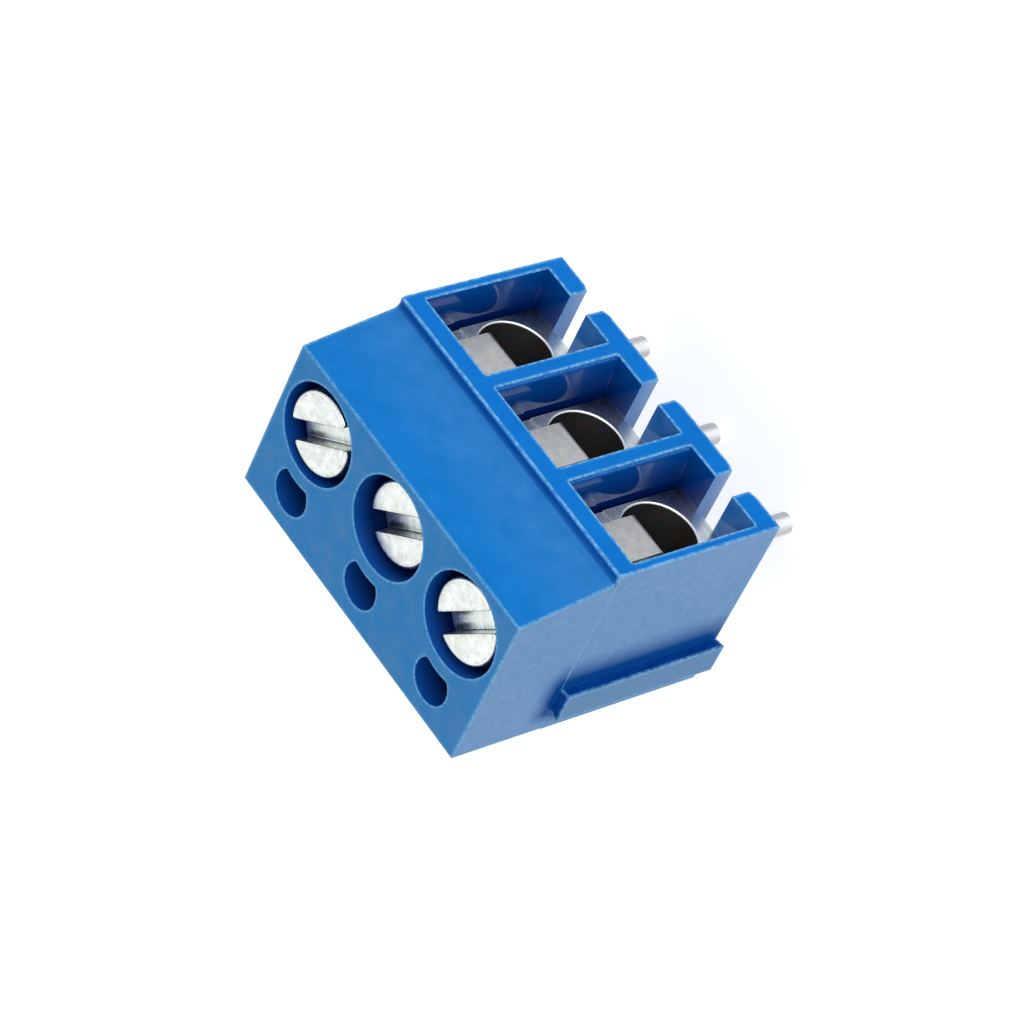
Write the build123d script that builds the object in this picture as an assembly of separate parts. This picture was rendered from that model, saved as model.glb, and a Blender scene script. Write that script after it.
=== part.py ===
from build123d import *
import os

# Three-pole screw terminal block for a printed circuit board, with interlocking ends.
# Millimetres. The origin is the middle pin's axis on the board's surface. +Z points out of the board,
# +X runs along the row of poles, and the wires enter from the front, at -Y.

# Row of poles
pitch = 5.0
poles = 3

# Housing, seen from the end
front_reach = 3.95
back_reach = 5.1
height = 12.45
entry_face_height = 8.2
slant_foot_height = 8.15
slant_foot_setback = 0.5
slant_top_setback = 1.45
foot_blend = 0.3

# Wire entries and the chambers behind them
floor = 1.0
entry_width = 4.2
chamber_width = 3.9
entry_height = 6.25
seam_ledge = 0.12
pin_slot_width = 1.1
slot_corner = 0.35
slot_corner_height = 0.12

# Screw wells and probe holes in the top
well_d = 4.2
neck_d = 3.2
neck_length = 1.0
probe_d = 1.95
probe_offset = 3.35
probe_web = 0.63
probe_depth = 9.0
probe_corner = 0.15

# Interlock between neighbouring blocks
tongue_front = 2.6
tongue_width = 1.45
tongue_out = 0.5
tongue_flare = 0.1
tongue_height = 8.05
tongue_gap = 0.05
end_step = 0.03

# Clamp body
clamp_inset = 1.95
clamp_side_gap = 0.2
clamp_depth = 4.0
clamp_height = 6.2
clamp_back_gap = 0.05
wire_hole_d = 3.2
wire_hole_rise = 2.37
wire_hole_back = 0.5
rim_chamfer = 0.05
shoulder_step = 0.08
thread_d = 3.0

# Solder pin, pressed into the clamp body
pin_d = 0.9
pin_length = 4.45
pin_seat = 0.7
pin_chamfer = 0.12

# Wire guard
guard_width = 2.0
guard_thickness = 0.25
guard_gap = 0.05
guard_bend = 0.05
guard_rise = 2.95
guard_flange = 2.65
guard_past_screw = 1.2

# Clamp screw
head_d = 3.5
head_height = 1.3
head_chamfer = 0.12
slot_width = 0.85
slot_depth = 0.7
screw_length = 7.55
thread_play = 0.04
tip_chamfer = 0.4

# How far each screw's head lies below the top, and how its slot is turned, pole 1 first
head_sinks = [0.28, 0.57, 0.07]
slot_angles = [49.0, 40.0, 38.0]

# Places that several pieces share
row_length = poles * pitch
front_y = -front_reach
chamber_top = floor + entry_height
clamp_front_y = front_y + clamp_inset
clamp_back_y = clamp_front_y + clamp_depth
wire_hole_z = floor + wire_hole_rise
well_floor_z = chamber_top + neck_length
past = 1.0


def pole_x(pole):
    """X of a pole's axis, with pole 0 at the -X end."""
    return (pole - (poles - 1) / 2) * pitch


def block(x, y, z):
    """Box between three pairs of limits."""
    size = (x[1] - x[0], y[1] - y[0], z[1] - z[0])
    centre = ((x[0] + x[1]) / 2, (y[0] + y[1]) / 2, (z[0] + z[1]) / 2)
    return Pos(*centre) * Box(*size)


def rod(diameter, z, x=0.0, y=0.0):
    """Upright cylinder between two heights."""
    return Pos(x, y, (z[0] + z[1]) / 2) * Cylinder(diameter / 2, z[1] - z[0])


def prism(points, z):
    """Upright prism on a closed XY outline."""
    outline = make_face(Polyline(*points, close=True))
    return Pos(0, 0, z[0]) * extrude(outline, z[1] - z[0])


def housing_shell():
    """Outer form: the end profile drawn along the row, blended at the slant's foot, its upper ends set back."""
    profile = [
        (front_y, 0),
        (front_y, entry_face_height),
        (front_y + slant_foot_setback, slant_foot_height),
        (front_y + slant_top_setback, height),
        (back_reach, height),
        (back_reach, 0),
    ]
    face = make_face(Plane.YZ * Polyline(*profile, close=True))
    shell = extrude(face, row_length / 2, both=True)
    slant_foot = shell.edges().filter_by(Axis.X).sort_by_distance((0, *profile[2]))[0]
    shell = fillet(slant_foot, foot_blend)
    for side in (-1, 1):
        slab = block(
            (-end_step / 2, end_step / 2),
            (front_y - past, back_reach + past),
            (tongue_height, height + past),
        )
        shell -= Pos(side * (row_length - end_step) / 2, 0, 0) * slab
    return shell


def dovetail(mouth_x, root_gap, top):
    """Interlock profile that widens away from mouth_x towards -X, larger all round by root_gap."""
    near_y = tongue_front - root_gap
    far_y = tongue_front + tongue_width + root_gap
    points = [
        (mouth_x, near_y + tongue_flare),
        (mouth_x, far_y - tongue_flare),
        (mouth_x - tongue_out - root_gap, far_y),
        (mouth_x - tongue_out - root_gap, near_y),
    ]
    return prism(points, (0, top))


def slot_flare(pole):
    """Shallow flare along both sides of a pin slot at the underside."""
    half = pin_slot_width / 2
    wide = half + 2 * slot_corner
    points = [
        (-wide, -slot_corner_height),
        (wide, -slot_corner_height),
        (half, slot_corner_height),
        (-half, slot_corner_height),
    ]
    facing_front = Plane(origin=(pole_x(pole), half, 0), x_dir=(1, 0, 0), z_dir=(0, -1, 0))
    return extrude(make_face(facing_front * Polyline(*points, close=True)), half + front_reach + past)


def chamber(pole):
    """Room for one clamp body, with its wire entry, its pin slot and the ledge beside the entry."""
    x = pole_x(pole)
    half = chamber_width / 2
    back_y = clamp_back_y + clamp_back_gap
    room = block((x - half, x + half), (clamp_front_y, back_y), (floor, chamber_top))
    draft = (entry_width - chamber_width) / 2 / clamp_inset
    wide = half + draft * (clamp_inset + past)
    entry = [
        (x - wide, front_y - past),
        (x + wide, front_y - past),
        (x + half, clamp_front_y),
        (x - half, clamp_front_y),
    ]
    room += prism(entry, (floor, chamber_top))
    slot_half = pin_slot_width / 2
    room += block((x - slot_half, x + slot_half), (front_y - past, slot_half), (-past, floor + past))
    if pole < poles - 1:
        ledge_x = (x + half, x + entry_width / 2 + seam_ledge)
        room += block(ledge_x, (front_y - past, front_y + seam_ledge), (floor, chamber_top))
    return room


def screw_well(pole):
    """Well for the screw's head, and the neck through which its shank reaches the chamber."""
    x = pole_x(pole)
    well = rod(well_d, (well_floor_z, height + past), x)
    return well + rod(neck_d, (chamber_top - past, well_floor_z + past), x)


def probe_hole(pole):
    """Kidney-shaped hole behind the well: a circle cut back to leave a web round the well."""
    circle = Pos(0, probe_offset) * Circle(probe_d / 2)
    kidney = circle - Circle(well_d / 2 + probe_web)
    kidney = fillet(kidney.vertices(), probe_corner)
    return Pos(pole_x(pole), 0, height - probe_depth) * extrude(kidney, probe_depth + past)


def housing():
    """Moulded housing for the whole row."""
    body = housing_shell()
    body += dovetail(-row_length / 2, 0, tongue_height)
    body -= Pos(0, 0, -tongue_gap) * dovetail(row_length / 2, tongue_gap, tongue_height + 2 * tongue_gap)
    for pole in range(poles):
        body -= chamber(pole)
        body -= slot_flare(pole)
        body -= screw_well(pole)
        body -= probe_hole(pole)
    return body


def clamp_body(pole):
    """Metal block with a blind wire hole from the front and a threaded hole from the top."""
    x = pole_x(pole)
    half = chamber_width / 2 - clamp_side_gap
    top = floor + clamp_height
    body = block((x - half, x + half), (clamp_front_y, clamp_back_y), (floor, top))
    wire_hole_top = wire_hole_z + wire_hole_d / 2
    shoulder_y = (clamp_front_y - past, clamp_front_y + shoulder_step)
    body -= block((x - entry_width, x + entry_width), shoulder_y, (wire_hole_top, top + past))
    wire_hole_length = clamp_depth - wire_hole_back
    facing_front = Plane(origin=(x, clamp_front_y, wire_hole_z), z_dir=(0, -1, 0))
    drill = Cylinder(wire_hole_d / 2, wire_hole_length, align=(Align.CENTER, Align.CENTER, Align.MAX))
    rim_r = wire_hole_d / 2
    rim = Cone(rim_r, rim_r + rim_chamfer, rim_chamfer, align=(Align.CENTER, Align.CENTER, Align.MAX))
    body -= facing_front * (drill + rim)
    body -= rod(thread_d, (wire_hole_z, top + past), x)
    body -= pin_shank(pole)
    return body


def pin_shank(pole):
    """Square shank of a pin, as wide as the pin is round, pressed into the clamp body."""
    x = pole_x(pole)
    half = pin_d / 2
    return block((x - half, x + half), (-half, half), (0, floor + pin_seat))


def solder_pin(pole):
    """Pin with a square shank in the housing's slot, and a round tail through the board."""
    tail = rod(pin_d, (-pin_length, 0), pole_x(pole))
    tip = tail.edges().filter_by(GeomType.CIRCLE).sort_by(Axis.Z)[0]
    return chamfer(tip, pin_chamfer) + pin_shank(pole)


def wire_guard(pole):
    """Bent leaf: a flange in front of the clamp body and a leg that reaches in under the screw."""
    front = clamp_front_y - guard_gap - guard_thickness
    bottom = floor + guard_rise
    outline = [
        (front, bottom + guard_flange),
        (front, bottom),
        (guard_past_screw, bottom),
        (guard_past_screw, bottom + guard_thickness),
        (front + guard_thickness, bottom + guard_thickness),
        (front + guard_thickness, bottom + guard_flange),
    ]
    face = make_face(Plane.YZ * Polyline(*outline, close=True))
    leaf = extrude(face, guard_width / 2, both=True)
    along_x = leaf.edges().filter_by(Axis.X)
    outer_bend = along_x.sort_by_distance((0, front, bottom))[0]
    leaf = fillet(outer_bend, guard_bend + guard_thickness)
    along_x = leaf.edges().filter_by(Axis.X)
    inner_corner = (0, front + guard_thickness, bottom + guard_thickness)
    leaf = fillet(along_x.sort_by_distance(inner_corner)[0], guard_bend)
    return Pos(pole_x(pole), 0, 0) * leaf


def clamp_screw(pole):
    """Slotted screw with a flat round head, at its rest height."""
    head_top = height - head_sinks[pole]
    head = rod(head_d, (head_top - head_height, head_top))
    rim = head.edges().filter_by(GeomType.CIRCLE).sort_by(Axis.Z)[-1]
    head = chamfer(rim, head_chamfer)
    across_slot = (-slot_width / 2, slot_width / 2)
    head -= block((-head_d, head_d), across_slot, (head_top - slot_depth, head_top + past))
    shank_d = thread_d - 2 * thread_play
    tip_z = head_top - screw_length
    shank = rod(shank_d, (tip_z, head_top - head_height))
    tip = shank.edges().filter_by(GeomType.CIRCLE).sort_by(Axis.Z)[0]
    shank = chamfer(tip, tip_chamfer)
    return Pos(pole_x(pole), 0, 0) * Rot(0, 0, slot_angles[pole]) * (head + shank)


def write(node, shape):
    """Write one node's solid, and say how large it is."""
    export_step(shape, f"parts/{node}.step")
    print(node, round(shape.volume, 3), "mm3")


os.makedirs("parts", exist_ok=True)
write("housing", housing())
for pole in range(poles):
    write(f"clamp_body_{pole + 1}", clamp_body(pole))
    write(f"solder_pin_{pole + 1}", solder_pin(pole))
    write(f"wire_guard_{pole + 1}", wire_guard(pole))
    write(f"clamp_screw_{pole + 1}", clamp_screw(pole))
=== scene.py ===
import math
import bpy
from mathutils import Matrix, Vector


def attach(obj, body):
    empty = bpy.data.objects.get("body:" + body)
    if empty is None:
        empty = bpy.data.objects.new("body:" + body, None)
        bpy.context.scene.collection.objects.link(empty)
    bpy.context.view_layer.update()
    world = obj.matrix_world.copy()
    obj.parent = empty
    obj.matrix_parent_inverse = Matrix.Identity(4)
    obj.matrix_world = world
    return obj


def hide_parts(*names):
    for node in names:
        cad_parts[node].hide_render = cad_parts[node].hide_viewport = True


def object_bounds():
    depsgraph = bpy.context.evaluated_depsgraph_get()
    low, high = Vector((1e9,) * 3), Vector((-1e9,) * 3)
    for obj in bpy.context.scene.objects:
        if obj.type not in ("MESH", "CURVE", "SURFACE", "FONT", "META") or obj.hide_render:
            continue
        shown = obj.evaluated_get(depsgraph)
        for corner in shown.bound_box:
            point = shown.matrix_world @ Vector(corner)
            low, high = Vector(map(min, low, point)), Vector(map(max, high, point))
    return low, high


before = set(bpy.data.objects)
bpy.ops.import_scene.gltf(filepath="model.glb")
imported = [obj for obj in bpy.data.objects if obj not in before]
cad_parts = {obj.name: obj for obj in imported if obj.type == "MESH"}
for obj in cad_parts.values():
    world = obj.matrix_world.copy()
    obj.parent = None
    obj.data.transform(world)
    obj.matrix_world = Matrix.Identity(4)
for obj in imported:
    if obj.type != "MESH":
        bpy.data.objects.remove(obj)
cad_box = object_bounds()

from types import SimpleNamespace

import bpy
from mathutils import Matrix, Quaternion, Vector

# Screw terminal block. Lengths are written in millimetres and turned to metres by mm.
mm = 0.001
poles = (1, 2, 3)

# Camera, at the photograph's view
camera_place = Vector((-70.585, -109.146, 105.599))
camera_aim = Vector((1.0823, 3.0588, 4.1475))
camera_roll = -106.463
camera_lens = 148.573
sensor_width = 36.0

# Floor and lamps. A lamp's level is how brightly it lights a white card that faces it, with 1 for white
floor_size = 4000.0
floor_gap = 0.01
floor_albedo = 0.8
floor_glow = 0.64
world_level = 0.42
lamp_distance = 1000.0
lamp_aim = Vector((0.0, 0.0, 4.0))
lamps = {
    "key": {"towards": (-0.48, -0.78, 0.40), "side": 700.0, "level": 0.50},
    "top": {"towards": (0.25, 0.40, 0.88), "side": 800.0, "level": 0.12},
}

# Row of poles, with the hollows in the housing
pitch = 5.0
row_half = 7.5
front_y = -3.95
back_y = 5.1
top_z = 12.45
floor_top = 1.0
entry_half_width = 2.15
entry_z = (0.97, 7.3)
entry_back_y = 2.4
slot_half_width = 0.55
well_r = 2.1
well_foot_z = 7.2
probe_y = (2.3, 4.5)
probe_half_width = 1.0
tongue_y = (2.6, 4.05)
tongue_top = 8.05
slant_foot_z = 8.15
slant_foot_y = -3.4
wire_hole_r = 1.6
wire_hole_z = 3.37
clamp_front_y = -2.0

# Colours of the housing, from dull to bright or from shallow to deep where there are two
blues = {
    "front": ((0.0, 0.185, 0.700), (0.0, 0.225, 0.800)),
    # slant, top and ends: painted shade and pale sheen of how the light falls on each face
    "slant": ((0.004, 0.205, 0.655), (0.012, 0.235, 0.735)),
    # painted sheen towards the slant's foot
    "slant_foot": ((0.022, 0.228, 0.655), (0.042, 0.275, 0.730)),
    "top": ((0.030, 0.260, 0.640), (0.085, 0.285, 0.620)),
    "end": ((0.195, 0.385, 0.675), (0.255, 0.445, 0.765)),
    # painted sheen on the pin slots' sides
    "slot_side": ((0.22, 0.43, 0.82), (0.38, 0.56, 0.86)),
    # painted shade on the tongue's side
    "tongue_side": ((0.001, 0.048, 0.27), (0.002, 0.070, 0.36)),
    # painted shade, darker deeper in the entries
    "entry": ((0.0, 0.095, 0.42), (0.0, 0.020, 0.16)),
    # painted light on the entries' floors
    "entry_floor": ((0.030, 0.215, 0.66), (0.085, 0.27, 0.72)),
    # painted shade, darker deeper in the wells and probe holes
    "hole": ((0.003, 0.07, 0.34), (0.0, 0.014, 0.10)),
    "end_front": (0.30, 0.48, 0.80),
    # weaker painted sheen on the tongue's face
    "tongue_face": (0.150, 0.330, 0.610),
    # painted shade round the tongue
    "tongue_shade": (0.0035, 0.088, 0.365),
    # painted shade behind the lip at the slant's foot
    "lip": (0.0, 0.07, 0.32),
    # painted shade in inward corners
    "corner": (0.0, 0.055, 0.33),
    "speck": (0.02, 0.30, 0.86),
    "scratch": (0.42, 0.62, 0.92),
    # painted highlight along the mould's parting step
    "hairline": (0.36, 0.58, 0.88),
    # painted highlight along edges and the entries' mouths
    "worn": (0.26, 0.66, 1.0),
}
plastic_gloss = 0.06
entry_roughness = 0.12
relief_depths = {"grain": 0.006, "mottle": 0.012, "scratch": 0.004, "ripple": 0.012}

# Metals: the clouds' two colours and size, the grain's size, strength and stretch, the roughness and the depth
# of the relief, then the colours of marks, of painted shade and of painted highlights and reflections
metals = {
    "plated_clamp": {
        "dark": (0.42, 0.48, 0.51), "light": (0.65, 0.71, 0.74), "mottle": 0.5,
        "grain": 0.05, "streak": 0.5, "stretch": (4, 1, 1), "rough": (0.22, 0.32), "depth": 0.0004,
        # painted shade in the clamp's low far corner
        "far_corner_shade": (0.06, 0.085, 0.12),
        # painted highlight on the rim round the wire hole
        "rim": (0.97, 0.98, 0.98),
        # painted shade in the wire hole
        "bore": ((0.110, 0.128, 0.135), (0.15, 0.12, 0.10)),
    },
    "tinned_pin": {
        "dark": (0.42, 0.42, 0.41), "light": (0.92, 0.92, 0.91), "mottle": 0.42,
        "grain": 0.10, "streak": 0.2, "stretch": (1, 1, 6), "rough": (0.20, 0.28), "depth": 0.0006,
        # painted reflection bands round the pin
        "right_band": (0.44, 0.45, 0.44),
        "left_band": (0.56, 0.53, 0.50),
    },
    "zinc_steel": {
        "dark": (0.66, 0.71, 0.68), "light": (0.84, 0.89, 0.86), "mottle": 0.40,
        "grain": 0.06, "streak": 0.45, "stretch": (1, 1, 1), "rough": (0.24, 0.34), "depth": 0.003,
        "stain": (0.60, 0.57, 0.54),
        # painted shade ring inside the head's rim
        "ring": (0.30, 0.30, 0.29),
        # darker in patches along the edges
        "dark_patch": (0.34, 0.33, 0.32),
        "slot_floor": ((0.50, 0.58, 0.58), (0.86, 0.94, 0.93)),
        # painted shade on the slot's walls
        "slot_wall": ((0.045, 0.055, 0.065), (0.12, 0.14, 0.15)),
        # painted shade along one end of the slot's floor
        "slot_shade": (0.03, 0.038, 0.045),
        # painted highlight at the slot floor's end edge
        "slot_end": (0.62, 0.68, 0.68),
    },
    "leaf_steel": {
        "dark": (0.42, 0.43, 0.435), "light": (0.52, 0.525, 0.52), "mottle": 0.3,
        "grain": 0.04, "streak": 0.3, "stretch": (1, 1, 1), "rough": (0.42, 0.54), "depth": 0.0012,
        "stain": (0.50, 0.46, 0.43),
    },
}
# painted highlight colour for metal edges
edge_glint = (0.95, 0.96, 0.97)

# Screws: sizes as in the CAD, then how round the head is. Edges are rounded by head_corner times their weight
head_r = 1.75
head_height = 1.3
slot_width = 0.85
slot_depth = 0.7
screw_length = 7.55
head_tops = (12.17, 11.88, 12.38)
slot_angles = (49.0, 40.0, 38.0)
mean_slot_angle = 42.0
head_steps = 18
head_corner = 0.25
edge_weights = {"corner": 1.0, "rim": 0.56, "slot": 0.24}

# Thread, with its profile as shares of the pitch and of the depth, and the chamfer at its tip
thread_r = 1.46
thread_pitch = 0.5
thread_depth = 0.27
thread_profile = ((0.0, 1.0), (0.06, 1.0), (0.5, 0.0), (0.56, 0.0))
thread_steps = 48
thread_lap = 0.02
tip_chamfer = 0.4
tip_lip = 0.01

# How far the sharp edges of the CAD pieces are softened
housing_edge = 0.05
metal_edge = 0.02


def add_object(name, data):
    """New object in the scene."""
    thing = bpy.data.objects.new(name, data)
    bpy.context.scene.collection.objects.link(thing)
    return thing


def make_mesh(name, points, faces):
    """New mesh from points in millimetres."""
    mesh = bpy.data.meshes.new(name)
    mesh.from_pydata([tuple(c * mm for c in point) for point in points], [], faces)
    return mesh


def make_camera():
    """The photograph's camera: placed, aimed and rolled about its own line of sight."""
    data = bpy.data.cameras.new("camera")
    data.lens = camera_lens
    data.sensor_width = sensor_width
    data.clip_start = 1.0 * mm
    data.clip_end = 100.0
    camera = add_object("camera", data)
    level = (camera_aim - camera_place).to_track_quat("-Z", "Y")
    camera.rotation_mode = "QUATERNION"
    camera.rotation_quaternion = level @ Quaternion((0, 0, 1), math.radians(camera_roll))
    camera.location = camera_place * mm
    bpy.context.scene.camera = camera


def make_lamps():
    """Square soft lamps that look at the block."""
    for name, lamp in lamps.items():
        data = bpy.data.lights.new(name, "AREA")
        data.shape = "SQUARE"
        data.size = lamp["side"] * mm
        data.energy = lamp["level"] * (math.pi * lamp_distance * mm) ** 2
        thing = add_object(name, data)
        towards = Vector(lamp["towards"]).normalized()
        thing.location = (lamp_aim + towards * lamp_distance) * mm
        thing.rotation_mode = "QUATERNION"
        thing.rotation_quaternion = (-towards).to_track_quat("-Z", "Y")
        thing.visible_camera = False


class Graph:
    """A material's or world's nodes, joined by short calls."""

    def __init__(self, owner):
        owner.use_nodes = True
        self.tree = owner.node_tree
        self.tree.nodes.clear()

    def add(self, kind, links=None, **settings):
        """New node, with what its sockets take and its own settings."""
        node = self.tree.nodes.new(kind)
        for name, value in settings.items():
            setattr(node, name, value)
        for key, value in (links or {}).items():
            self.feed(node.inputs[key], value)
        return node

    def feed(self, socket, value):
        """Join an output to a socket, or write a plain value on it."""
        if isinstance(value, bpy.types.NodeSocket):
            self.tree.links.new(value, socket)
        else:
            socket.default_value = value

    def finish(self, kind, shader):
        """Join a shader to the output."""
        out = self.add(kind)
        self.feed(out.inputs["Surface"], shader)

    def math(self, operation, a, b=0.0):
        node = self.add("ShaderNodeMath", operation=operation)
        self.feed(node.inputs[0], a)
        self.feed(node.inputs[1], b)
        return node.outputs[0]

    def product(self, *values):
        """Product of two or more numbers."""
        result = values[0]
        for value in values[1:]:
            result = self.math("MULTIPLY", result, value)
        return result

    def length(self, a, b):
        """Length of a line from its two parts."""
        return self.math("SQRT", self.math("ADD", self.product(a, a), self.product(b, b)))

    def ramp(self, value, low, high, to_low=0.0, to_high=1.0):
        """Map a value between two limits, clamped."""
        node = self.add("ShaderNodeMapRange", {"Value": value}, clamp=True)
        for key, limit in (("From Min", low), ("From Max", high), ("To Min", to_low), ("To Max", to_high)):
            node.inputs[key].default_value = limit
        return node.outputs["Result"]

    def within(self, value, low, high, soft=0.03):
        """1 where low < value < high, with soft ends."""
        above = self.ramp(value, low - soft, low + soft)
        below = self.ramp(value, high - soft, high + soft, 1.0, 0.0)
        return self.product(above, below)

    def beyond(self, value, low, high):
        """How far a number lies outside two limits."""
        below = self.math("SUBTRACT", low, value)
        above = self.math("SUBTRACT", value, high)
        return self.math("MAXIMUM", 0.0, self.math("MAXIMUM", below, above))

    def mix(self, share, low, high):
        """Mix two colours."""
        node = self.add("ShaderNodeMix", data_type="RGBA")
        self.feed(node.inputs["Factor"], share)
        self.feed(node.inputs[6], low if isinstance(low, bpy.types.NodeSocket) else (*low, 1.0))
        self.feed(node.inputs[7], high if isinstance(high, bpy.types.NodeSocket) else (*high, 1.0))
        return node.outputs[2]

    def mix_value(self, share, low, high):
        """Mix two numbers."""
        node = self.add("ShaderNodeMix", data_type="FLOAT")
        self.feed(node.inputs["Factor"], share)
        self.feed(node.inputs[2], low)
        self.feed(node.inputs[3], high)
        return node.outputs[0]

    def place(self):
        """Place on the piece, in millimetres."""
        where = self.add("ShaderNodeTexCoord")
        scaled = self.add("ShaderNodeVectorMath", {0: where.outputs["Object"]}, operation="SCALE")
        scaled.inputs["Scale"].default_value = 1 / mm
        return scaled.outputs[0]

    def split(self, vector):
        """The three parts of a vector."""
        node = self.add("ShaderNodeSeparateXYZ", {0: vector})
        return node.outputs[0], node.outputs[1], node.outputs[2]

    def normal(self):
        """The three parts of the surface's direction, along the piece's axes."""
        return self.split(self.add("ShaderNodeTexCoord").outputs["Normal"])

    def facing(self):
        """How far the surface faces along each axis of the piece, from 0 to 1."""
        return [self.math("ABSOLUTE", part) for part in self.normal()]

    def rotated(self, place, degrees, axis):
        """Place turned about an axis."""
        node = self.add("ShaderNodeVectorRotate", {"Vector": place}, rotation_type=axis)
        node.inputs["Angle"].default_value = math.radians(degrees)
        return node.outputs[0]

    def from_pole(self, x):
        """Place along the row from the nearest pole's middle plane."""
        half_a_pitch_on = self.math("ADD", x, pitch * 10.5)
        return self.math("SUBTRACT", self.math("MODULO", half_a_pitch_on, pitch), pitch / 2)

    def across_pole(self, x):
        """Distance from the nearest pole's middle plane."""
        return self.math("ABSOLUTE", self.from_pole(x))

    def noise(self, place, size, detail=2.0, stretch=(1, 1, 1), seed=0.0):
        """Noise with grains of about size millimetres, longer along an axis whose stretch is large."""
        scaled = self.add("ShaderNodeVectorMath", {0: place}, operation="MULTIPLY_ADD")
        scaled.inputs[1].default_value = tuple(1 / (size * s) for s in stretch)
        scaled.inputs[2].default_value = (seed, seed, seed)
        node = self.add("ShaderNodeTexNoise", {"Vector": scaled.outputs[0]})
        node.inputs["Scale"].default_value = 1.0
        node.inputs["Detail"].default_value = detail
        return node.outputs["Fac"]

    def bump(self, height, depth, normal=None):
        """Bump whose full height is depth millimetres."""
        node = self.add("ShaderNodeBump", {"Height": height, "Distance": depth * mm, "Strength": 1.0})
        if normal is not None:
            self.feed(node.inputs["Normal"], normal)
        return node.outputs["Normal"]

    def closeness(self, distance, inside):
        """How much other surface lies within a distance in millimetres, outside or inside the piece."""
        node = self.add("ShaderNodeAmbientOcclusion", samples=8, inside=inside, only_local=True)
        node.inputs["Distance"].default_value = distance * mm
        return self.math("SUBTRACT", 1.0, node.outputs["AO"])

    def edges(self, width):
        """1 on outward edges, falling to 0 at a width in millimetres."""
        return self.ramp(self.closeness(width, True), 0.06, 0.30)

    def corners(self, width):
        """1 deep in inward corners, falling to 0 at a width in millimetres."""
        return self.ramp(self.closeness(width, False), 0.06, 0.50)


def seen(g):
    """1 for what is seen: straight, mirrored or through glass."""
    path = g.add("ShaderNodeLightPath")
    straight = g.math("MAXIMUM", path.outputs["Is Camera Ray"], path.outputs["Is Transmission Ray"])
    return g.math("MAXIMUM", straight, path.outputs["Is Glossy Ray"])


def make_floor():
    """Pale floor under the pins, white where it is seen and lit, which takes a soft shadow."""
    floor_z = cad_box[0].z / mm - floor_gap
    half = floor_size / 2
    corners = [(-half, -half, floor_z), (half, -half, floor_z), (half, half, floor_z), (-half, half, floor_z)]
    mesh = make_mesh("floor", corners, [(0, 1, 2, 3)])
    floor = add_object("floor", mesh)
    material = bpy.data.materials.new("floor")
    g = Graph(material)
    matte = g.add("ShaderNodeBsdfDiffuse", {"Color": (floor_albedo, floor_albedo, floor_albedo, 1.0)})
    glow = g.add("ShaderNodeEmission", {"Strength": g.ramp(seen(g), 0.0, 1.0, 0.0, floor_glow)})
    both = g.add("ShaderNodeAddShader")
    g.feed(both.inputs[0], matte.outputs[0])
    g.feed(both.inputs[1], glow.outputs[0])
    g.finish("ShaderNodeOutputMaterial", both.outputs[0])
    mesh.materials.append(material)


def make_world():
    """Even pale surroundings."""
    world = bpy.data.worlds.new("world")
    bpy.context.scene.world = world
    g = Graph(world)
    sky = g.add("ShaderNodeBackground", {"Color": (1.0, 1.0, 1.0, 1.0)})
    g.feed(sky.inputs["Strength"], g.ramp(seen(g), 0.0, 1.0, world_level, 1.0))
    g.finish("ShaderNodeOutputWorld", sky.outputs[0])


def housing_masks(g):
    """Where a place lies on the housing, as masks from 0 to 1, and the noises that its colours follow."""
    m = SimpleNamespace(place=g.place())
    m.x, m.y, m.z = g.split(m.place)
    m.across = g.across_pole(m.x)
    m.far_out = g.math("ABSOLUTE", m.x)
    m.facing_x, m.facing_y, m.facing_z = g.facing()
    m.cloud = g.noise(m.place, 1.6, 3.0, seed=3.1)
    m.ripple = g.noise(m.place, 1.1, 2.0, seed=9.2)
    m.patch = g.noise(m.place, 0.9, 4.0, seed=2.7)
    m.mottle = g.noise(m.place, 0.28, 4.0, seed=6.1)
    m.speckle = g.noise(m.place, 0.09, 2.0, seed=7.7)
    m.grain = g.noise(m.place, 0.07, 3.0, seed=5.5)
    hollow_masks(g, m)
    face_masks(g, m)
    return m


def hollow_masks(g, m):
    """Wire entries, screw wells and probe holes, and how deep a place lies in them, from 0 at the mouth."""
    in_entry = g.product(g.ramp(m.across, entry_half_width, entry_half_width + 0.02, 1.0, 0.0),
                         g.within(m.z, *entry_z, 0.01),
                         g.ramp(m.y, entry_back_y, entry_back_y + 0.1, 1.0, 0.0))
    m.inside = g.product(in_entry, g.ramp(m.y, front_y + 0.03, front_y + 0.08))
    m.entry_depth = g.product(in_entry, g.ramp(m.y, front_y + 0.02, front_y + 1.8))
    m.entry_floor = g.product(in_entry, g.ramp(m.z, floor_top + 0.1, floor_top + 0.05))

    in_well = g.product(g.ramp(g.length(m.across, m.y), well_r + 0.01, well_r + 0.03, 1.0, 0.0),
                        g.ramp(m.z, well_foot_z, well_foot_z + 0.1))
    in_probe = g.product(g.ramp(m.across, probe_half_width, probe_half_width + 0.03, 1.0, 0.0),
                         g.within(m.y, *probe_y))
    m.in_hole = g.product(g.math("MAXIMUM", in_well, in_probe), g.ramp(m.z, top_z, top_z - 0.05))
    m.hole_depth = g.math("MAXIMUM", g.product(in_well, g.ramp(m.z, top_z - 0.08, top_z - 0.9)),
                          g.product(in_probe, g.ramp(m.z, top_z - 0.08, top_z - 1.8)))
    m.outer = g.math("SUBTRACT", 1.0, g.math("MAXIMUM", m.inside, m.in_hole))


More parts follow.
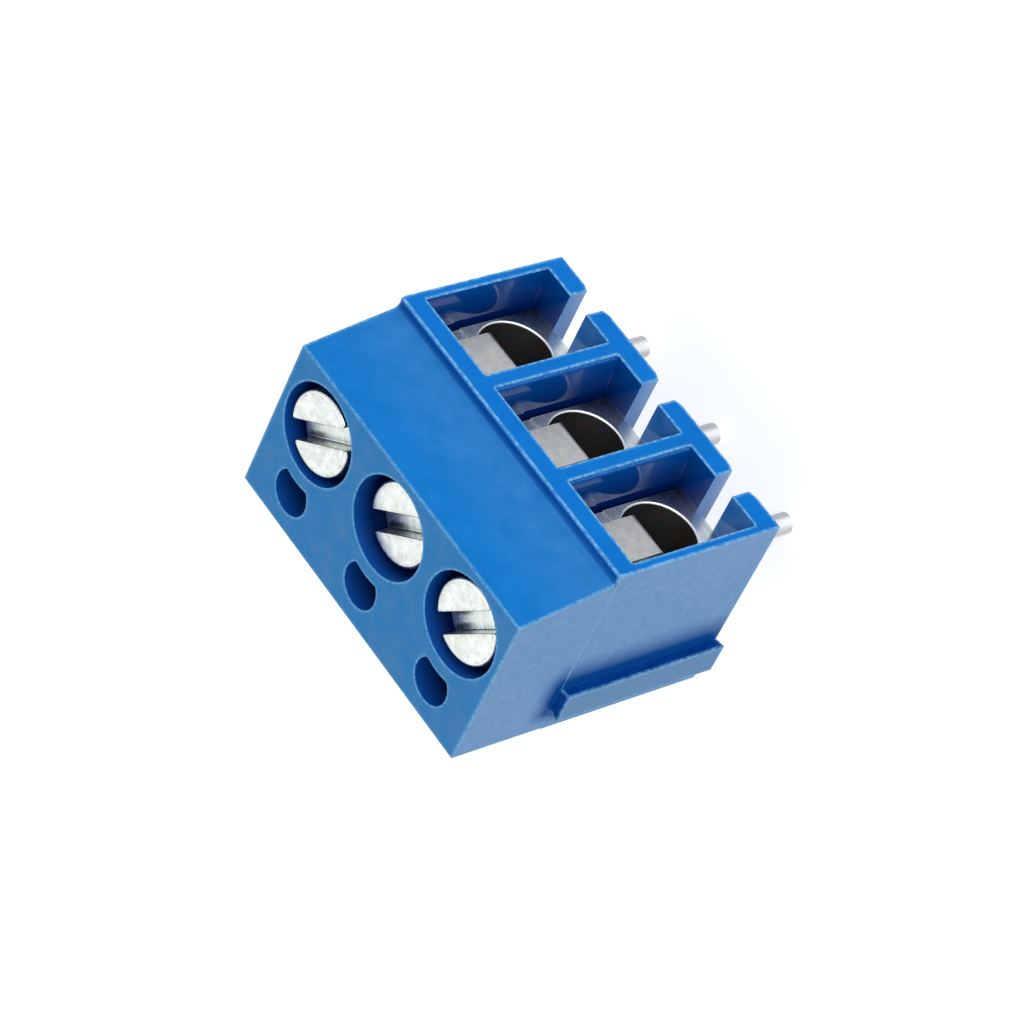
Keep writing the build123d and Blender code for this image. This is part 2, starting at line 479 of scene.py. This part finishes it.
def face_masks(g, m):
    """Moulded faces: the top, the slant, the ends, and the sides of the tongue and of the pin slots."""
    across_row = g.ramp(m.facing_x, 0.75, 0.95)
    step = g.within(m.z, tongue_top - 0.03, tongue_top + 0.03, 0.02)
    m.end_face = g.product(g.math("MAXIMUM", across_row, step),
                           g.ramp(m.far_out, row_half - 0.06, row_half - 0.04))
    m.top_face = g.product(g.ramp(m.facing_z, 0.75, 0.95), g.ramp(m.z, top_z - 0.08, top_z - 0.05))
    m.slant_face = g.product(g.ramp(m.facing_z, 0.1, 0.2), g.ramp(m.z, slant_foot_z, slant_foot_z + 0.1),
                             g.ramp(m.z, top_z, top_z - 0.05))
    m.tongue_side = g.product(g.ramp(m.far_out, row_half + 0.005, row_half + 0.03), g.ramp(m.facing_x, 0.6, 0.4))
    m.slot_side = g.product(across_row, g.ramp(m.across, slot_half_width + 0.5, slot_half_width + 0.4),
                            g.ramp(m.z, floor_top + 0.02, floor_top - 0.05))


def moulded_colour(g, m):
    """The front is smooth, in the plastic's own strong blue; the slant, the top and the ends get painted shade and
    pale sheen as the light falls on each face.
    """
    colour = g.mix(g.ramp(m.cloud, 0.3, 0.7), *blues["front"])
    # painted shade and sheen: the slant, the top and the ends each get the tone that the light gives them
    colour = g.mix(m.slant_face, colour, g.mix(g.ramp(m.patch, 0.3, 0.7), *blues["slant"]))
    fine_patch = g.math("ADD", m.patch, m.speckle)
    colour = g.mix(m.top_face, colour, g.mix(g.ramp(fine_patch, 0.8, 1.2), *blues["top"]))
    colour = g.mix(m.end_face, colour, g.mix(g.ramp(m.mottle, 0.30, 0.70), *blues["end"]))
    low_in_front = g.product(m.end_face, g.ramp(m.y, -0.5, front_y), g.ramp(m.z, 7.0, 2.0), 0.5)
    colour = g.mix(low_in_front, colour, blues["end_front"])
    return g.mix(g.ramp(m.speckle, 0.35, 0.75, 0.0, 0.25), colour, blues["speck"])


def slant_marks(g, m, colour):
    """The slant has a painted sheen, paler towards its foot, and a painted shade line lies there behind the lip.
    """
    # painted sheen, paler towards the slant's foot
    foot = g.product(g.ramp(m.z, 11.4, 9.0), m.slant_face)
    colour = g.mix(foot, colour, g.mix(g.ramp(m.patch, 0.3, 0.7), *blues["slant_foot"]))
    # painted shade line behind the lip
    lip = g.product(g.within(m.z, slant_foot_z - 0.03, slant_foot_z + 0.10, 0.04),
                    g.ramp(m.y, front_y + 0.1, front_y + 0.2), g.ramp(m.y, slant_foot_y + 0.05, slant_foot_y), 0.7)
    return g.mix(lip, colour, blues["lip"])


def end_marks(g, m, colour):
    """The ends have fine scratches, a painted shade round the tongue, a weaker painted sheen on the tongue's face,
    a painted highlight along the step where the mould parts, and a painted sheen on the pin slots' sides.
    """
    scratch = g.noise(g.rotated(m.place, 38.0, "X_AXIS"), 0.07, 2.0, stretch=(1, 1, 22), seed=8.3)
    m.scratched = g.product(g.ramp(scratch, 0.66, 0.72), m.end_face, g.ramp(m.patch, 0.45, 0.6))
    colour = g.mix(g.product(m.scratched, 0.4), colour, blues["scratch"])
    # the tongue's face: a weaker painted sheen than on the end
    tongue_face = g.product(m.end_face, g.ramp(m.far_out, row_half + 0.3, row_half + 0.45))
    colour = g.mix(tongue_face, colour, blues["tongue_face"])

    # painted shade round the tongue, widest in front of it
    ahead = g.product(g.beyond(m.y, tongue_y[0], back_y), 0.4)
    behind = g.beyond(m.y, front_y, tongue_y[1])
    above = g.product(g.beyond(m.z, 0.0, tongue_top), 0.6)
    from_tongue = g.length(g.math("MAXIMUM", ahead, behind), above)
    tongue_shade = g.product(g.ramp(from_tongue, 0.75, 0.15), m.end_face, g.ramp(m.x, 1.0, -1.0),
                            g.ramp(m.far_out, row_half + 0.05, row_half + 0.02))
    colour = g.mix(g.math("POWER", tongue_shade, 1.4), colour, blues["tongue_shade"])

    # painted highlight along the parting step
    hairline = g.product(m.end_face, g.within(m.z, tongue_top - 0.01, tongue_top + 0.05, 0.02),
                         g.ramp(m.y, 2.2, 1.8), 0.5)
    colour = g.mix(hairline, colour, blues["hairline"])
    # painted sheen on the pin slots' sides, paler towards the bottom
    return g.mix(m.slot_side, colour, g.mix(g.ramp(m.z, 0.95, 0.2), *blues["slot_side"]))


def corner_shade_and_edge_light(g, m, colour):
    """Painted shade in inward corners and on the tongue's side, and painted highlights along edges and the
    entries' mouths, here and there.
    """
    mouth_side = g.within(m.across, entry_half_width - 0.12, entry_half_width + 0.06, 0.02)
    mouth_top = g.within(m.z, entry_z[1] - 0.12, entry_z[1], 0.02)
    m.mouth = g.product(g.math("MAXIMUM", mouth_side, mouth_top), g.ramp(m.y, front_y + 0.07, front_y + 0.04),
                        g.ramp(m.facing_y, 0.98, 0.95))
    # painted highlight along outward edges, weaker further back
    lit_edge = g.product(g.edges(0.15), g.ramp(m.y, front_y + 0.2, front_y + 0.6, 1.0, 0.70))
    broken = g.ramp(g.noise(m.place, 0.16, 4.0, seed=1.3), 0.38, 0.60, 0.30, 1.0)
    m.worn = g.product(g.math("MAXIMUM", lit_edge, m.mouth), broken, g.math("MAXIMUM", m.outer, m.mouth))
    # painted shade in inward corners
    deep = g.product(g.corners(0.45), g.ramp(m.end_face, 1.0, 0.0), g.ramp(m.slant_face, 1.0, 0.0, 0.35, 0.8))
    colour = g.mix(deep, colour, blues["corner"])
    # painted shade on the tongue's side
    colour = g.mix(m.tongue_side, colour, g.mix(g.ramp(m.mottle, 0.35, 0.6), *blues["tongue_side"]))
    return g.mix(m.worn, colour, blues["worn"])


def hollow_colour(g, m, colour):
    """Painted shade in the entries, wells and probe holes, darker away from their mouths, and painted light on the
    entries' floors.
    """
    # painted shade, darker deeper in the entries
    in_room = g.product(m.inside, g.ramp(m.mouth, 1.0, 0.0))
    colour = g.mix(in_room, colour, g.mix(m.entry_depth, *blues["entry"]))
    # painted light on the entries' floors
    lit_floor = g.product(m.entry_floor, g.ramp(g.from_pole(m.x), 0.2, -0.5), m.inside)
    colour = g.mix(lit_floor, colour, g.mix(g.ramp(m.patch, 0.35, 0.65), *blues["entry_floor"]))
    # painted shade, darker deeper in the wells and probe holes
    return g.mix(m.in_hole, colour, g.mix(m.hole_depth, *blues["hole"]))


def housing_plastic():
    """Blue moulded plastic: fine-grained outside, polished in the wire entries, with painted sheen, painted shade
    in its hollows and corners, and painted highlights along its edges.
    """
    material = bpy.data.materials.new("housing_plastic")
    g = Graph(material)
    m = housing_masks(g)
    colour = moulded_colour(g, m)
    for marks in (slant_marks, end_marks, corner_shade_and_edge_light, hollow_colour):
        colour = marks(g, m, colour)

    outer_rough = g.math("ADD", g.ramp(m.grain, 0.3, 0.7, 0.36, 0.50), g.product(m.worn, -0.12))
    rough = g.mix_value(m.inside, outer_rough, entry_roughness)
    relief = g.bump(g.product(m.grain, m.outer), relief_depths["grain"])
    relief = g.bump(g.product(m.mottle, m.end_face), relief_depths["mottle"], relief)
    relief = g.bump(m.scratched, relief_depths["scratch"], relief)
    relief = g.bump(m.ripple, relief_depths["ripple"], relief)
    polish = g.product(m.inside, g.ramp(m.y, front_y + 0.15, front_y + 0.3),
                       g.math("MAXIMUM", g.product(m.entry_floor, 0.55), g.ramp(m.z, 2.0, 3.2, 0.1, 0.6)))

    plastic = g.add("ShaderNodeBsdfPrincipled", {
        "Base Color": colour,
        "Roughness": rough,
        "Normal": relief,
        "IOR": 1.5,
        "Specular IOR Level": plastic_gloss,
        "Coat Weight": polish,
        "Coat Roughness": 0.05,
        "Coat IOR": 1.9,
    })
    g.finish("ShaderNodeOutputMaterial", plastic.outputs[0])
    return material


class Metal(Graph):
    """Plated metal, whose grain also gives its roughness and relief. Colours are laid over each other."""

    def __init__(self, name):
        self.material = bpy.data.materials.new(name)
        super().__init__(self.material)
        self.look = metals[name]
        self.where = self.place()
        self.cloud = self.noise(self.where, self.look["mottle"], 3.0, self.look["stretch"], seed=2.2)
        self.fine = self.noise(self.where, self.look["grain"], 3.0, self.look["stretch"], seed=4.4)
        self.rough = self.ramp(self.fine, 0.3, 0.7, *self.look["rough"])
        self.colour = None

    def lay(self, share, colour):
        """Lay a colour over what is there."""
        self.colour = self.mix(share, self.colour, colour)

    def cloudy(self):
        """Clouds between the two colours."""
        self.colour = self.mix(self.ramp(self.cloud, 0.34, 0.64), self.look["dark"], self.look["light"])

    def streaky(self):
        """Darken along the grain."""
        self.lay(self.ramp(self.fine, 0.35, 0.75, 0.0, self.look["streak"]), self.look["dark"])

    def stained(self):
        """Stains a little smaller than the clouds."""
        stain = self.noise(self.where, self.look["mottle"] * 0.7, 3.0, seed=8.8)
        self.lay(self.ramp(stain, 0.52, 0.70, 0.0, 0.6), self.look["stain"])

    def bright_edges(self, width):
        """Painted highlights along the edges."""
        self.lay(self.product(self.edges(width), 0.8), edge_glint)

    def done(self):
        """The finished material."""
        relief = self.bump(self.fine, self.look["depth"])
        relief = self.bump(self.cloud, self.look["depth"] * 2, relief)
        plate = self.add("ShaderNodeBsdfPrincipled", {
            "Base Color": self.colour,
            "Roughness": self.rough,
            "Normal": relief,
            "Metallic": 1.0,
        })
        self.finish("ShaderNodeOutputMaterial", plate.outputs[0])
        return self.material


def plated_clamp():
    """Nickel plate: painted highlights along its edges and on the rim round the wire hole, painted shade in its
    low far corner and in the hole.
    """
    g = Metal("plated_clamp")
    g.cloudy()
    g.streaky()
    g.bright_edges(0.06)
    x, y, z = g.split(g.where)
    # painted shade in the low far corner
    far_corner_shade = g.product(g.ramp(g.from_pole(x), 0.6, 1.7), g.ramp(z, 3.8, 2.0), 0.85)
    g.lay(far_corner_shade, g.look["far_corner_shade"])

    reach = g.length(g.across_pole(x), g.math("SUBTRACT", z, wire_hole_z))
    # painted highlight on the rim round the wire hole
    rim = g.product(g.within(reach, wire_hole_r - 0.01, wire_hole_r + 0.045, 0.01),
                    g.ramp(y, clamp_front_y + 0.10, clamp_front_y + 0.07))
    g.lay(rim, g.look["rim"])
    g.rough = g.math("MAXIMUM", g.rough, g.product(rim, 0.6))
    # painted shade in the wire hole
    bore_shade = g.product(g.ramp(reach, wire_hole_r + 0.02, wire_hole_r + 0.05, 1.0, 0.0),
                      g.ramp(y, clamp_front_y + 0.06, clamp_front_y + 0.1))
    g.lay(bore_shade, g.mix(g.ramp(g.cloud, 0.4, 0.6), *g.look["bore"]))
    g.rough = g.math("ADD", g.rough, g.product(bore_shade, 0.25))
    return g.done()


def tinned_pin():
    """Drawn and tinned pin: painted reflections in lengthwise bands, from bright to dull round the pin, over its
    drawn grain.
    """
    g = Metal("tinned_pin")
    normal = g.normal()
    # painted reflection bands, by the surface's direction round the pin
    round_pin = g.math("SUBTRACT", g.product(normal[0], 0.735), g.product(normal[1], 0.678))
    round_pin = g.math("ADD", round_pin, g.product(g.cloud, 0.3))
    g.colour = g.mix(g.ramp(round_pin, 0.50, 0.90), g.look["light"], g.look["right_band"])
    g.lay(g.ramp(round_pin, 0.15, -0.35), g.look["left_band"])
    g.streaky()
    return g.done()


def zinc_steel():
    """Zinc plate on the screws: stained, darker in patches along its edges and in a painted shade ring inside the
    rim, with a cut slot that has painted shade on its walls and along one end of its floor, and a painted
    highlight at that end's edge.
    """
    g = Metal("zinc_steel")
    g.cloudy()
    g.streaky()
    g.stained()
    x, y, z = g.split(g.where)
    radius = g.length(g.from_pole(x), y)
    dark_patch = g.ramp(g.noise(g.where, 0.16, 4.0, seed=6.6), 0.42, 0.60)
    # painted shade ring inside the rim
    ring = g.within(radius, head_r - 0.20, head_r - 0.15, 0.02)
    g.lay(g.product(ring, dark_patch, 0.5), g.look["ring"])
    # darker in patches along the edges
    g.lay(g.product(g.edges(0.20), dark_patch, 0.45), g.look["dark_patch"])

    upward = g.facing()[2]
    crevice = g.corners(0.55)
    cuts = g.noise(g.rotated(g.where, mean_slot_angle, "Z_AXIS"), 0.05, 3.0, stretch=(16, 1, 1), seed=1.9)
    slot_floor = g.product(g.ramp(crevice, 0.15, 0.35), g.ramp(upward, 0.85, 0.95))
    g.lay(slot_floor, g.mix(g.ramp(cuts, 0.35, 0.65), *g.look["slot_floor"]))
    # painted shade on the slot's walls
    slot_wall = g.product(crevice, g.ramp(upward, 0.8, 0.4), 0.9)
    g.lay(slot_wall, g.mix(g.ramp(cuts, 0.4, 0.6), *g.look["slot_wall"]))

    # painted shade along one end of the slot's floor
    turn = math.radians(mean_slot_angle)
    along = g.math("ADD", g.product(g.from_pole(x), math.cos(turn)), g.product(y, math.sin(turn)))
    uneven = g.math("ADD", along, g.product(cuts, 0.5))
    slot_shade = g.product(slot_floor, g.ramp(uneven, 0.45, 1.0), g.ramp(along, 1.66, 1.60), 0.85)
    g.lay(slot_shade, g.look["slot_shade"])
    # painted highlight at the slot floor's end edge
    slot_end = g.product(g.within(radius, head_r - 0.13, head_r - 0.04, 0.03), g.ramp(upward, 0.6, 0.9),
                         g.ramp(along, 1.5, 1.6), g.ramp(crevice, 0.05, 0.15))
    g.lay(slot_end, g.look["slot_end"])
    return g.done()


def leaf_steel():
    """Rolled sheet of the wire guards: satin, faintly stained, with painted highlights along the edges."""
    g = Metal("leaf_steel")
    g.cloudy()
    g.streaky()
    g.stained()
    g.bright_edges(0.04)
    return g.done()


def dress(node, material, soften):
    """Give a CAD node its material, and soften its sharp edges by so many millimetres."""
    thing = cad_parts[node]
    for slot in thing.material_slots:
        slot.material = material
    if not thing.material_slots:
        thing.data.materials.append(material)
    weld = thing.modifiers.new("weld", "WELD")
    weld.merge_threshold = 0.0005 * mm
    flat = thing.modifiers.new("flat", "DECIMATE")
    flat.decimate_type = "DISSOLVE"
    flat.angle_limit = math.radians(0.5)
    soft = thing.modifiers.new("soft", "BEVEL")
    soft.width = soften * mm
    soft.segments = 2
    soft.limit_method = "ANGLE"
    soft.angle_limit = math.radians(35)
    soft.harden_normals = True


def tip_disc(bottom):
    """Points and faces of the thin disc that closes a thread's tip."""
    points = []
    for radius, height in ((thread_r - tip_chamfer, bottom), (thread_r - tip_chamfer + tip_lip, bottom + tip_lip)):
        for i in range(thread_steps):
            angle = 2 * math.pi * i / thread_steps
            points.append((radius * math.cos(angle), radius * math.sin(angle), height))
    faces = [tuple(reversed(range(thread_steps))), tuple(range(thread_steps, 2 * thread_steps))]
    for i in range(thread_steps):
        following = (i + 1) % thread_steps
        faces.append((i, following, following + thread_steps, i + thread_steps))
    return points, faces


def thread(bottom, top):
    """Points and faces of a right-hand thread between two heights, with a chamfered tip."""
    rows = []
    for turn in range(-2, int((top - bottom) / thread_pitch) + 3):
        rows += [(turn + share, crest) for share, crest in thread_profile]
    points, faces = [], []
    for lead, crest in rows:
        for i in range(thread_steps):
            share = i / thread_steps
            height = bottom + (lead + share) * thread_pitch
            kept = min(max(height, bottom), top)
            chamfer_r = thread_r - tip_chamfer + kept - bottom
            radius = min(thread_r - thread_depth * (1 - crest), chamfer_r)
            angle = 2 * math.pi * share
            points.append((radius * math.cos(angle), radius * math.sin(angle), kept))
    for row in range(len(rows) - 1):
        for i in range(thread_steps):
            a = row * thread_steps + i
            if i + 1 < thread_steps:
                b, c = a + 1, a + 1 + thread_steps
            else:
                next_turn = row + len(thread_profile)
                if next_turn + 1 >= len(rows):
                    continue
                b, c = next_turn * thread_steps, (next_turn + 1) * thread_steps
            faces.append((a, b, c, a + thread_steps))
    return points, faces


def head_shape(low, slot_z, top):
    """Points and faces of a round head with a straight slot, in three rings: bottom, slot's floor and top."""
    mouth_angle = math.asin(slot_width / 2 / head_r)
    arc = [mouth_angle + (math.pi - 2 * mouth_angle) * i / head_steps for i in range(head_steps + 1)]
    mouth = [math.pi - mouth_angle + 2 * mouth_angle * i / 3 for i in (1, 2)]
    turns = arc + mouth + [turn + math.pi for turn in arc + mouth]
    count = len(turns)
    points = [(head_r * math.cos(t), head_r * math.sin(t), z) for z in (low, slot_z, top) for t in turns]

    faces = [tuple(reversed(range(count)))]
    faces += [(i, (i + 1) % count, count + (i + 1) % count, count + i) for i in range(count)]
    slot_floor = []
    for start in (0, count // 2):
        lower, upper = count + start, 2 * count + start
        faces += [(lower + i, lower + i + 1, upper + i + 1, upper + i) for i in range(head_steps)]
        faces.append((lower, upper, upper + head_steps, lower + head_steps))
        faces.append(tuple(range(upper, upper + head_steps + 1)))
        slot_floor += [count + (start + head_steps + i) % count for i in range(4)]
    faces.append(tuple(slot_floor))
    return points, faces


def edge_weight(a, b, low, slot_z):
    """How much the edge between two points of a head is rounded: not at all between the round wall's facets."""
    tiny = 0.001
    slot_half = slot_width / 2
    if abs(a.z - b.z) > tiny:
        beside_slot = abs(abs(a.y) - slot_half) < tiny and max(a.z, b.z) > slot_z + tiny
        return edge_weights["corner"] if beside_slot else 0.0
    on_rim = min(a.xy.length, b.xy.length) > head_r - tiny and (a - b).length < head_r / 2
    if a.z > slot_z + tiny:
        return edge_weights["rim"] if on_rim else edge_weights["slot"]
    at_bottom = a.z < low + tiny
    in_mouth = max(abs(a.y), abs(b.y)) < slot_half + tiny
    return edge_weights["slot"] if at_bottom or in_mouth or not on_rim else 0.0


def slotted_head(name, top):
    """Mesh of a flat round head with a straight slot, with its edges rounded by their weight."""
    low, slot_z = top - head_height, top - slot_depth
    points, faces = head_shape(low, slot_z, top)
    mesh = make_mesh(name, points, faces)
    mesh.update()
    mesh.shade_smooth()
    weights = mesh.attributes.new("bevel_weight_edge", "FLOAT", "EDGE")
    for edge in mesh.edges:
        a, b = (Vector(points[i]) for i in edge.vertices)
        weights.data[edge.index].value = edge_weight(a, b, low, slot_z)
    head = add_object(name, mesh)
    soft = head.modifiers.new("soft", "BEVEL")
    soft.width = head_corner * mm
    soft.segments = 4
    soft.limit_method = "WEIGHT"
    soft.harden_normals = True
    made = bpy.data.meshes.new_from_object(head.evaluated_get(bpy.context.evaluated_depsgraph_get()))
    bpy.data.objects.remove(head)
    return made


def make_screw(pole, material):
    """Slotted screw with a cut thread, in place of the plain one."""
    top = head_tops[pole - 1]
    tip_z = top - screw_length
    head = add_object(f"screw_{pole}_head", slotted_head(f"screw_{pole}_head", top))
    shank_mesh = make_mesh(f"screw_{pole}_thread", *thread(tip_z, top - head_height + thread_lap))
    shank = add_object(f"screw_{pole}_thread", shank_mesh)
    tip = add_object(f"screw_{pole}_tip", make_mesh(f"screw_{pole}_tip", *tip_disc(tip_z)))
    spin = Matrix.Rotation(math.radians(slot_angles[pole - 1]), 4, "Z")
    to_pole = Matrix.Translation(((pole - 2) * pitch * mm, 0, 0))
    for piece in (head, shank, tip):
        piece.data.transform(to_pole @ spin)
        piece.data.materials.clear()
        piece.data.materials.append(material)
        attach(piece, f"screw_{pole}")
    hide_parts(f"clamp_screw_{pole}")


bpy.context.scene.view_settings.view_transform = "Standard"
make_camera()
make_world()
make_lamps()
make_floor()

plastic = housing_plastic()
nickel = plated_clamp()
tin = tinned_pin()
zinc = zinc_steel()
leaf = leaf_steel()

dress("housing", plastic, housing_edge)
for pole in poles:
    dress(f"clamp_body_{pole}", nickel, metal_edge)
    dress(f"solder_pin_{pole}", tin, metal_edge)
    dress(f"wire_guard_{pole}", leaf, metal_edge)
    make_screw(pole, zinc)
